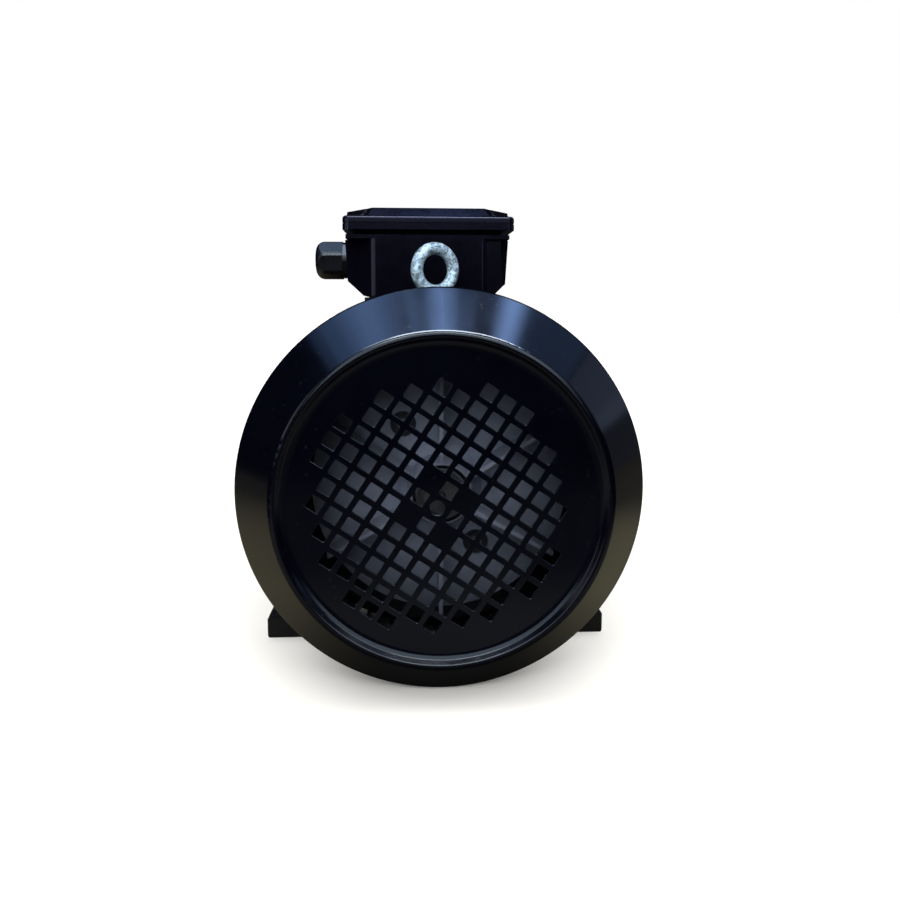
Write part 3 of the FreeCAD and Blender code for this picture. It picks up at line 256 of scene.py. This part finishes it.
def steel(name, low, high, r0, r1, rings):
    """Turned steel: fine rings round the shaft's Y axis."""
    k = Look(name)
    k.set(Metallic=1.0)
    line = k.noise(rings, 3, 0.6, k.scaled((0.02, 1.0, 0.02)))
    cloud = k.noise(60, 4, 0.6)
    tone = k.blend(k.span(line, 0.3, 0.7, 0, 1), low, high)
    k.colour(k.blend(k.span(cloud, 0.5, 0.75, 0, 0.35), tone, tuple(c * 0.7 for c in low)))
    k.rough(k.span(k.sum("ADD", k.sum("MULTIPLY", line, 0.6), k.sum("MULTIPLY", cloud, 0.4)), 0.3, 0.7, r0, r1))
    k.normal(k.bump(line, 0.00002, 0.6))
    return k.m


def layered_steel():
    """Edges of stacked core sheets, half a millimetre apart."""
    k = Look("core_steel")
    k.set(Metallic=0.85)
    sheets = k.wave(314, "Y", bend=0.3, detail=1)
    cloud = k.noise(50, 4, 0.6)
    tone = k.blend(k.span(cloud, 0.35, 0.7, 0, 1), (0.16, 0.16, 0.17), (0.28, 0.28, 0.29))
    k.colour(k.blend(k.span(sheets, 0.0, 0.35, 0.6, 0.0), tone, (0.05, 0.05, 0.055)))
    k.rough(k.span(cloud, 0.3, 0.7, 0.42, 0.6))
    k.normal(k.bump(sheets, 0.00005))
    return k.m


def copper():
    """Varnished windings: bundles of wire running round the bore."""
    k = Look("winding_wire")
    k.set(Metallic=0.8, Coat_Weight=0.4, Coat_Roughness=0.2)
    wires = k.wave(420, "Y", bend=3.0, detail=2, detail_scale=0.4)
    cloud = k.noise(40, 4, 0.6)
    tone = k.blend(k.span(cloud, 0.35, 0.7, 0, 1), (0.32, 0.11, 0.045), (0.55, 0.22, 0.09))
    k.colour(k.blend(k.span(wires, 0.0, 0.4, 0.7, 0.0), tone, (0.06, 0.02, 0.01)))
    k.rough(k.span(cloud, 0.3, 0.7, 0.3, 0.45))
    k.normal(k.bump(wires, 0.0003))
    return k.m


def cast_alloy():
    k = Look("cast_alloy")
    k.set(Metallic=0.95)
    cloud = k.noise(120, 5, 0.65)
    k.colour(k.blend(k.span(cloud, 0.3, 0.7, 0, 1), (0.42, 0.43, 0.44), (0.66, 0.67, 0.68)))
    k.rough(k.span(k.noise(300, 4, 0.6), 0.3, 0.7, 0.42, 0.62))
    k.normal(k.bump(k.noise(700, 3, 0.6), 0.0001))
    return k.m


def brushed_alloy():
    """Brushed aluminium sheet, grain along the plate."""
    k = Look("plate_alloy")
    k.set(Metallic=0.95)
    grain = k.noise(900, 3, 0.6, k.scaled((1, 0.03, 1)))
    cloud = k.noise(40, 3, 0.6)
    tone = k.blend(k.span(grain, 0.3, 0.7, 0, 1), (0.48, 0.49, 0.50), (0.68, 0.69, 0.70))
    k.colour(k.blend(k.span(cloud, 0.5, 0.75, 0, 0.25), tone, (0.36, 0.36, 0.36)))
    k.rough(k.span(grain, 0.3, 0.7, 0.28, 0.42))
    k.normal(k.bump(grain, 0.00002, 0.6))
    return k.m


def fan_grey():
    """Moulded fan, grey, with dust lying in the moulding, and painted shade toward the rim, in the hub groove, on the
    hub centre and round the puller holes.
    """
    k = Look("fan_plastic")
    k.set(IOR=1.47)
    cloud = k.noise(45, 4, 0.6)
    tone = k.blend(k.span(cloud, 0.3, 0.7, 0, 1), (0.25, 0.272, 0.34), (0.33, 0.36, 0.45))
    x, z = k.axis("X"), k.sum("SUBTRACT", k.axis("Z"), 0.16)
    far = k.sum("SQRT", k.sum("ADD", k.sum("MULTIPLY", x, x), k.sum("MULTIPLY", z, z)))
    # Painted shade: darker toward the rim where the cowl's face shades the fan, a dark ring in the hub's groove and a
    # darker hub centre.
    fan_painted_shade = k.sum("MULTIPLY", k.span(far, 0.030, 0.100, 0.92, 0.27), k.sum("MAXIMUM", k.span(far, 0.0190, 0.0197, 0.5, 0.1), k.span(far, 0.0222, 0.0232, 0.0, 1.0)))
    # Painted shade: a dark disc round each puller hole.
    for way in (1, -1):
        dx, dz = k.sum("ADD", x, 0.0294 * way), k.sum("SUBTRACT", z, 0.0489 * way)
        off = k.sum("SQRT", k.sum("ADD", k.sum("MULTIPLY", dx, dx), k.sum("MULTIPLY", dz, dz)))
        fan_painted_shade = k.sum("MULTIPLY", fan_painted_shade, k.sum("MAXIMUM", k.span(off, 0.0100, 0.0107, 0.0, 1.0), k.span(off, 0.0044, 0.0052, 0.45, 0.04)))
    worn = k.blend(k.span(k.noise(340, 3, 0.6), 0.55, 0.75, 0, 0.25), tone, (0.14, 0.14, 0.145))
    k.colour(k.blend(fan_painted_shade, (0.004, 0.004, 0.0045), worn))
    k.rough(k.span(cloud, 0.3, 0.7, 0.42, 0.55))
    k.normal(k.bump(k.noise(1100, 3, 0.6), 0.00004, 1.0, k.bump(k.noise(50, 2, 0.5), 0.0002)))
    return k.m


def moulding(name, low, high, r0, r1, grain=1200, depth=0.00003):
    k = Look(name)
    k.set(IOR=1.48)
    cloud = k.noise(70, 4, 0.6)
    k.colour(k.blend(k.span(cloud, 0.3, 0.7, 0, 1), low, high))
    k.rough(k.span(k.noise(150, 4, 0.6), 0.3, 0.7, r0, r1))
    k.normal(k.bump(k.noise(grain, 3, 0.6), depth))
    return k.m


def yellow_metal():
    k = Look("brass")
    k.set(Metallic=1.0)
    cloud = k.noise(160, 4, 0.6)
    k.colour(k.blend(k.span(cloud, 0.3, 0.7, 0, 1), (0.50, 0.34, 0.11), (0.72, 0.52, 0.20)))
    k.rough(k.span(k.noise(300, 4, 0.6), 0.3, 0.7, 0.22, 0.38))
    k.normal(k.bump(k.noise(900, 3, 0.6), 0.00003))
    return k.m


COWL = sheet_paint()
CAST = cast_paint()
BOX = box_plastic()
GLAND = gland_plastic()
FORGED = zinc_forged()
ZINC = zinc_turned()
DARK_SCREW = screw_black()
GROUND = steel("ground_steel", (0.26, 0.25, 0.235), (0.42, 0.405, 0.38), 0.26, 0.40, 2600)
BEARING = steel("bearing_steel", (0.50, 0.50, 0.51), (0.68, 0.68, 0.69), 0.12, 0.22, 1800)
PRESSED = steel("pressed_steel", (0.36, 0.36, 0.37), (0.52, 0.52, 0.53), 0.28, 0.42, 700)
CORE = layered_steel()
WIRE = copper()
ALLOY = cast_alloy()
PLATE = brushed_alloy()
FAN = fan_grey()
SPRING = steel("spring_steel", (0.10, 0.096, 0.09), (0.17, 0.165, 0.155), 0.40, 0.55, 900)
BOARD = moulding("board_plastic", (0.045, 0.018, 0.010), (0.075, 0.030, 0.016), 0.35, 0.5)
BRASS = yellow_metal()
# Painted shade: a darker matt black without gloss, laid where the lid's shadow falls.
SHADE = moulding("painted_shade_black", (0.0010, 0.0009, 0.0022), (0.0018, 0.0016, 0.0034), 0.85, 0.95, 700, 0.00005)
SHADE.node_tree.nodes["Principled BSDF"].inputs["IOR"].default_value = 1.12
RUBBER = moulding("rubber", (0.010, 0.010, 0.010), (0.018, 0.018, 0.019), 0.55, 0.75, 700, 0.00008)

WEAR = {
    "fan_cowl": COWL,
    "stator_frame": CAST, "foot_left": CAST, "foot_right": CAST, "drive_end_shield": CAST, "rear_end_shield": CAST,
    "foot_screws": DARK_SCREW, "drive_shield_bolts": ZINC, "rear_shield_bolts": ZINC, "cowl_screws": DARK_SCREW,
    "box_base": BOX, "box_lid": BOX, "box_gasket": RUBBER, "lid_gasket": SHADE, "box_screws": ZINC, "lid_screws": DARK_SCREW,
    "terminal_board": BOARD, "terminal_studs": BRASS, "terminal_nuts": BRASS, "terminal_links": BRASS,
    "board_screws": ZINC, "earth_screw": BRASS,
    "gland_body": GLAND, "gland_nut": GLAND, "gland_locknut": GLAND, "gland_washer": RUBBER, "gland_seal": RUBBER,
    "eye_bolt": FORGED, "rating_plate": PLATE, "plate_rivets": PLATE,
    "shaft": GROUND, "fan": FAN, "fan_key": GROUND, "fan_circlip": SPRING, "front_v_ring": RUBBER, "rear_v_ring": RUBBER,
    "rotor_core": CORE, "rotor_cage": ALLOY, "stator_core": CORE, "stator_winding": WIRE,
    "preload_spring": PRESSED, "bearing_circlip": PRESSED,
}
for word in ("front", "rear"):
    for piece, look in (("outer", BEARING), ("inner", BEARING), ("balls", BEARING), ("cage", PRESSED), ("plates", PRESSED)):
        WEAR["%s_bearing_%s" % (word, piece)] = look
for name, obj in nodes.items():
    obj.data.materials.clear()
    obj.data.materials.append(WEAR[name])

# Painted shade: the box's rim, the gasket and the screw shanks sit back under the lid and wear a darker black with no
# gloss that stands in for the lid's shadow.
rim = nodes["box_base"]
rim.data.materials.append(SHADE)
for f in rim.data.polygons:
    if f.center.z > 0.3679 and abs(f.normal.z) < 0.5:
        f.material_index = 1
studs = nodes["lid_screws"]
studs.data.materials.append(SHADE)
for f in studs.data.polygons:
    if f.center.z < 0.378:
        f.material_index = 1

# ---------------------------------------------------------------------- camera
lens_px, mid_x, mid_y = 750.0, 447.7, 392.0
pitch, yaw, roll = (math.radians(v) for v in (6.45, 2.78, 0.16))
ahead = Vector((math.sin(yaw) * math.cos(pitch), math.cos(yaw) * math.cos(pitch), -math.sin(pitch)))
side = Vector((math.cos(yaw), -math.sin(yaw), 0.0))
over = side.cross(ahead)
right = math.cos(roll) * side + math.sin(roll) * over
top = -math.sin(roll) * side + math.cos(roll) * over
cam_data = bpy.data.cameras.new("camera")
cam_data.sensor_width = 36.0
cam_data.lens = 36.0 * lens_px / 900.0
cam_data.shift_x = (450.0 - mid_x) / 900.0
cam_data.shift_y = (mid_y - 450.0) / 900.0
cam_data.clip_start = 0.01
cam = bpy.data.objects.new("camera", cam_data)
turn = Matrix((right, top, -ahead)).transposed().to_4x4()
cam.matrix_world = Matrix.Translation((-0.0227, -0.8042, 0.3020)) @ turn
scene.collection.objects.link(cam)
scene.camera = cam

# ----------------------------------------------------------------------- stage
pale = Look("pale_floor")
pale.colour(pale.blend(pale.span(pale.noise(3, 3, 0.5), 0.3, 0.7, 0, 1), (0.86, 0.85, 0.825), (0.90, 0.89, 0.865)))
pale.set(IOR=1.2, Roughness=0.9)


def floor_piece(name, holes, outer):
    """A flat piece of floor; outer is its outline box, holes a box left out of it."""
    x0, y0, x1, y1 = outer
    verts, faces = [], []
    if holes is None:
        verts = [(x0, y0, 0), (x1, y0, 0), (x1, y1, 0), (x0, y1, 0)]
        faces = [(0, 1, 2, 3)]
    else:
        a0, b0, a1, b1 = holes
        verts = [(x0, y0, 0), (x1, y0, 0), (x1, y1, 0), (x0, y1, 0), (a0, b0, 0), (a1, b0, 0), (a1, b1, 0), (a0, b1, 0)]
        faces = [(0, 1, 5, 4), (1, 2, 6, 5), (2, 3, 7, 6), (3, 0, 4, 7)]
    me = bpy.data.meshes.new(name)
    me.from_pydata(verts, [], faces)
    me.materials.append(pale.m)
    o = bpy.data.objects.new(name, me)
    scene.collection.objects.link(o)
    return o


floor = floor_piece("floor", None, (-30, -30, 30, 30))
under = floor_piece("floor_under", None, (-0.10, -0.147, 0.10, -0.02))
under.location.z = 0.0003
for o in (floor, under):
    o.visible_glossy = False
    o.visible_diffuse = False


def mirror_piece(name, outer, look):
    """A patch of floor that only reflections see."""
    o = floor_piece(name, None, outer)
    o.data.materials.clear()
    o.data.materials.append(look)
    o.location.z = 0.0004
    o.visible_camera = False
    o.visible_diffuse = False
    o.visible_shadow = False
    return o


def mirrored(name, low, high, fade_from, fade_to, far):
    """Painted reflection of the floor: a darker copy seen only by reflections, with painted shadow at the motor's foot,
    fading away to the side.
    """
    k = Look(name)
    tone = k.blend(k.span(k.noise(3, 3, 0.5), 0.3, 0.7, 0, 1), low, high)
    out = k.sum("ABSOLUTE", k.axis("X"))
    shade = k.sum("MULTIPLY", k.span(out, 0.045, 0.24, 0.0, 1.0, True), k.span(out, fade_from, fade_to, 1.0, far, True))
    k.colour(k.blend(shade, (0.036, 0.034, 0.028), tone))
    k.set(IOR=1.2, Roughness=0.9)
    return k.m


# Painted reflection: a dim copy of the floor in front, seen only by reflections, with painted shade near the cowl and
# fading out to the sides and far away.
dim = Look("floor_front_painted_reflection")
near = dim.span(dim.axis("Y"), -0.385, -0.30, 1.0, 0.0, True)
wide = dim.sum("ABSOLUTE", dim.axis("X"))
lobe = dim.sum("MULTIPLY", dim.span(wide, 0.205, 0.25, 0.0, 1.0, True), dim.span(dim.axis("Y"), -0.88, -0.79, 0.2, 1.0, True))
lobe = dim.sum("MULTIPLY", lobe, dim.span(dim.axis("X"), -0.1, 0.1, 0.95, 0.32))
away = dim.sum("MAXIMUM", dim.span(dim.axis("Y"), -0.61, -0.42, 0.12, 1.0, True), lobe)
aside = dim.span(wide, 0.34, 0.68, 1.0, 0.0, True)
tone = dim.blend(dim.span(dim.noise(3, 3, 0.5), 0.3, 0.7, 0, 1), (0.107, 0.107, 0.108), (0.134, 0.134, 0.134))
dim.colour(dim.blend(dim.sum("MULTIPLY", dim.sum("MULTIPLY", near, away), aside), (0.002, 0.002, 0.002), tone))
dim.set(IOR=1.2, Roughness=0.9)
# Painted reflection: the floor beside the motor as the paint reflects it, darker and browner than the floor itself.
mirror_piece("floor_left", (-1.6, -0.30, 0.0, 0.9), mirrored("floor_mirrored_left", (0.195, 0.170, 0.108), (0.212, 0.186, 0.120), 0.35, 0.95, 0.05))
mirror_piece("floor_right", (0.0, -0.30, 2.6, 1.4), mirrored("floor_mirrored_right", (0.212, 0.190, 0.121), (0.232, 0.208, 0.133), 0.35, 0.72, 0.12))
mirror_piece("floor_front", (-0.7, -1.0, 0.7, -0.301), dim.m)


# ---------------------------------------------------------------------- lights
def panel(name, where, aim, size, colour, level, seen=("diffuse", "glossy")):
    """A soft rectangular light; level is its radiance."""
    d = bpy.data.lights.new(name, "AREA")
    d.shape = "RECTANGLE"
    d.size, d.size_y = size
    d.color = colour
    d.energy = level * math.pi * size[0] * size[1]
    o = bpy.data.objects.new(name, d)
    o.location = where
    way = Vector(aim) - Vector(where)
    o.rotation_euler = way.to_track_quat("-Z", "Y").to_euler()
    o.visible_camera = False
    o.visible_diffuse = "diffuse" in seen
    o.visible_glossy = "glossy" in seen
    scene.collection.objects.link(o)
    return o


def strip(name, angle, level, spread, colour, end=-0.05, distance=1.7, front=-0.9):
    """An overhead strip along Y up to an end, at an angle from straight up and spread over degrees."""
    t = math.radians(angle)
    length = end - front
    mid = end - length / 2
    at = (distance * math.sin(t), mid, 0.16 + distance * math.cos(t))
    width = 2 * distance * math.tan(math.radians(spread) / 2)
    o = panel(name, at, (0, mid, 0.16), (width, length), colour, level, ("glossy",))
    o.rotation_euler = (0, t, 0)
    return o


sun = bpy.data.lights.new("room_light", "SUN")
sun.energy = 5.0
sun.angle = math.radians(110)
sun.color = (1.0, 0.99, 0.97)
overhead = bpy.data.objects.new("room_light", sun)
overhead.rotation_euler = (math.radians(6), 0, 0)
overhead.visible_camera = False
overhead.visible_glossy = False
scene.collection.objects.link(overhead)


def front_panel(name, turn, lift, size, colour, level, seen=("diffuse", "glossy"), distance=2.0):
    """A panel behind the camera, turned to a side and lifted, in degrees as the cowl's face sees it."""
    t, e = math.radians(turn), math.radians(lift)
    at = (distance * math.sin(t) * math.cos(e), -0.277 - distance * math.cos(t) * math.cos(e), 0.16 + distance * math.sin(e))
    return panel(name, at, (0, -0.277, 0.16), size, colour, level, seen)


front_panel("key_wide", 0, 35, (2.6, 1.52), (0.65, 0.81, 1.0), 2.3, ("glossy",))
front_panel("key_core", 0, 45, (1.5, 0.2), (0.80, 0.91, 1.0), 14.0, ("glossy",))
front_panel("key_right", 44, 32, (0.8, 0.8), (0.72, 0.85, 1.0), 1.6, ("glossy",))
front_panel("key_low_left", -27, 10, (0.42, 0.3), (0.62, 0.79, 1.0), 2.0, ("glossy",))
front_panel("key_low_right", 30, 10, (0.42, 0.3), (0.62, 0.79, 1.0), 1.6, ("glossy",))
inner = [front_panel("key_soft", -14, 36, (2.2, 1.4), (0.74, 0.86, 1.0), 2.5, ("diffuse",))]
wall_left = front_panel("wall_left", -48, 8, (2.1, 0.95), (0.80, 0.84, 1.0), 1.7, ("glossy",))
for i in (1, 2, 3):
    front_panel("wall_soft_%d" % i, -56, 12, (0.34 + 0.16 * i, 0.2 + 0.3 * i), (0.80, 0.84, 1.0), 0.42, ("glossy",), 2.0 - 0.01 * i)
strip("ceiling_left", -27, 0.80, 30, (0.26, 0.47, 1.0), 0.40)
strip("ceiling_left_wide", -27, 0.74, 39, (0.26, 0.47, 1.0), 0.40, 1.74)
strip("ceiling_mid", 1.5, 2.0, 25, (0.27, 0.48, 1.0), 0.02)
strip("ceiling_right", 35, 0.52, 42, (0.30, 0.50, 1.0), 0.45)
for name, angle, level, spread, end in (("left", -25, 0.75, 7, 0.35), ("mid", 2.0, 2.3, 3.6, 0.02), ("right", 27, 2.8, 3.6, 0.40)):
    for i, wide in enumerate((1.0, 2.0, 3.0)):
        strip("strip_%s_%d" % (name, i), angle, level, spread * wide, (0.30, 0.50, 1.0), end, 1.6 - 0.02 * i)
strip("crest", -3, 8.0, 54, (0.78, 0.88, 1.0), -0.39, 1.58, -0.86)
crest_line = strip("crest_line", 4, 23.0, 46, (0.78, 0.88, 1.0), -0.39, 1.56, -0.86)
strip("side_right", 68, 0.42, 22, (0.50, 0.65, 1.0), 0.6, 1.8)
panel("horizon_right", (3.2, 1.2, 0.55), (0.1, -0.2, 0.2), (2.4, 1.2), (0.72, 0.82, 1.0), 0.09, ("glossy",))
inner.append(front_panel("fan_fill", -24, 2, (1.4, 0.3), (0.90, 0.94, 1.0), 4.6, ("diffuse",)))
inner.append(panel("floor_bounce", (-0.28, -0.85, 0.02), (-0.28, -0.85, 1.0), (1.4, 0.6), (0.90, 0.94, 1.0), 0.9, ("diffuse",)))
floor_fill = [front_panel("floor_fill_%d" % i, turn, 20, (1.0, 0.8), (1.0, 1.0, 1.0), 8.0, ("diffuse",)) for i, turn in enumerate((-40, 40))]


def lit(lamps, objects, state):
    """Lamps that reach only these objects, or all but these."""
    group = bpy.data.collections.new("lit_by_" + lamps[0].name)
    for o in objects:
        group.objects.link(o)
    for c in group.collection_objects:
        c.light_linking.link_state = state
    for o in lamps:
        o.light_linking.receiver_collection = group


lit(inner, [floor, under], "EXCLUDE")
lit(floor_fill, [floor], "INCLUDE")
lit([wall_left], [o for o in scene.objects if o.name.startswith("fan_cowl")], "EXCLUDE")
lit([crest_line], [o for o in scene.objects if o.name.startswith(("eye_bolt", "gland_"))], "EXCLUDE")
panel("gland_top", (-0.30, 0.36, 1.9), (-0.1, 0, 0.36), (0.45, 0.5), (0.50, 0.70, 1.0), 1.6, ("glossy",))

world = bpy.data.worlds.new("room")
scene.world = world
world.use_nodes = True
wt = world.node_tree
wt.nodes.clear()
sky_out = wt.nodes.new("ShaderNodeOutputWorld")
room = wt.nodes.new("ShaderNodeBackground")
room.inputs["Color"].default_value = (0.60, 0.75, 1.0, 1.0)
room.inputs["Strength"].default_value = 0.012
white = wt.nodes.new("ShaderNodeBackground")
white.inputs["Color"].default_value = (1.0, 1.0, 1.0, 1.0)
white.inputs["Strength"].default_value = 1.0
path = wt.nodes.new("ShaderNodeLightPath")
pick = wt.nodes.new("ShaderNodeMixShader")
wt.links.new(path.outputs["Is Camera Ray"], pick.inputs["Fac"])
wt.links.new(room.outputs["Background"], pick.inputs[1])
wt.links.new(white.outputs["Background"], pick.inputs[2])
wt.links.new(pick.outputs["Shader"], sky_out.inputs["Surface"])
scene.view_settings.view_transform = "Standard"
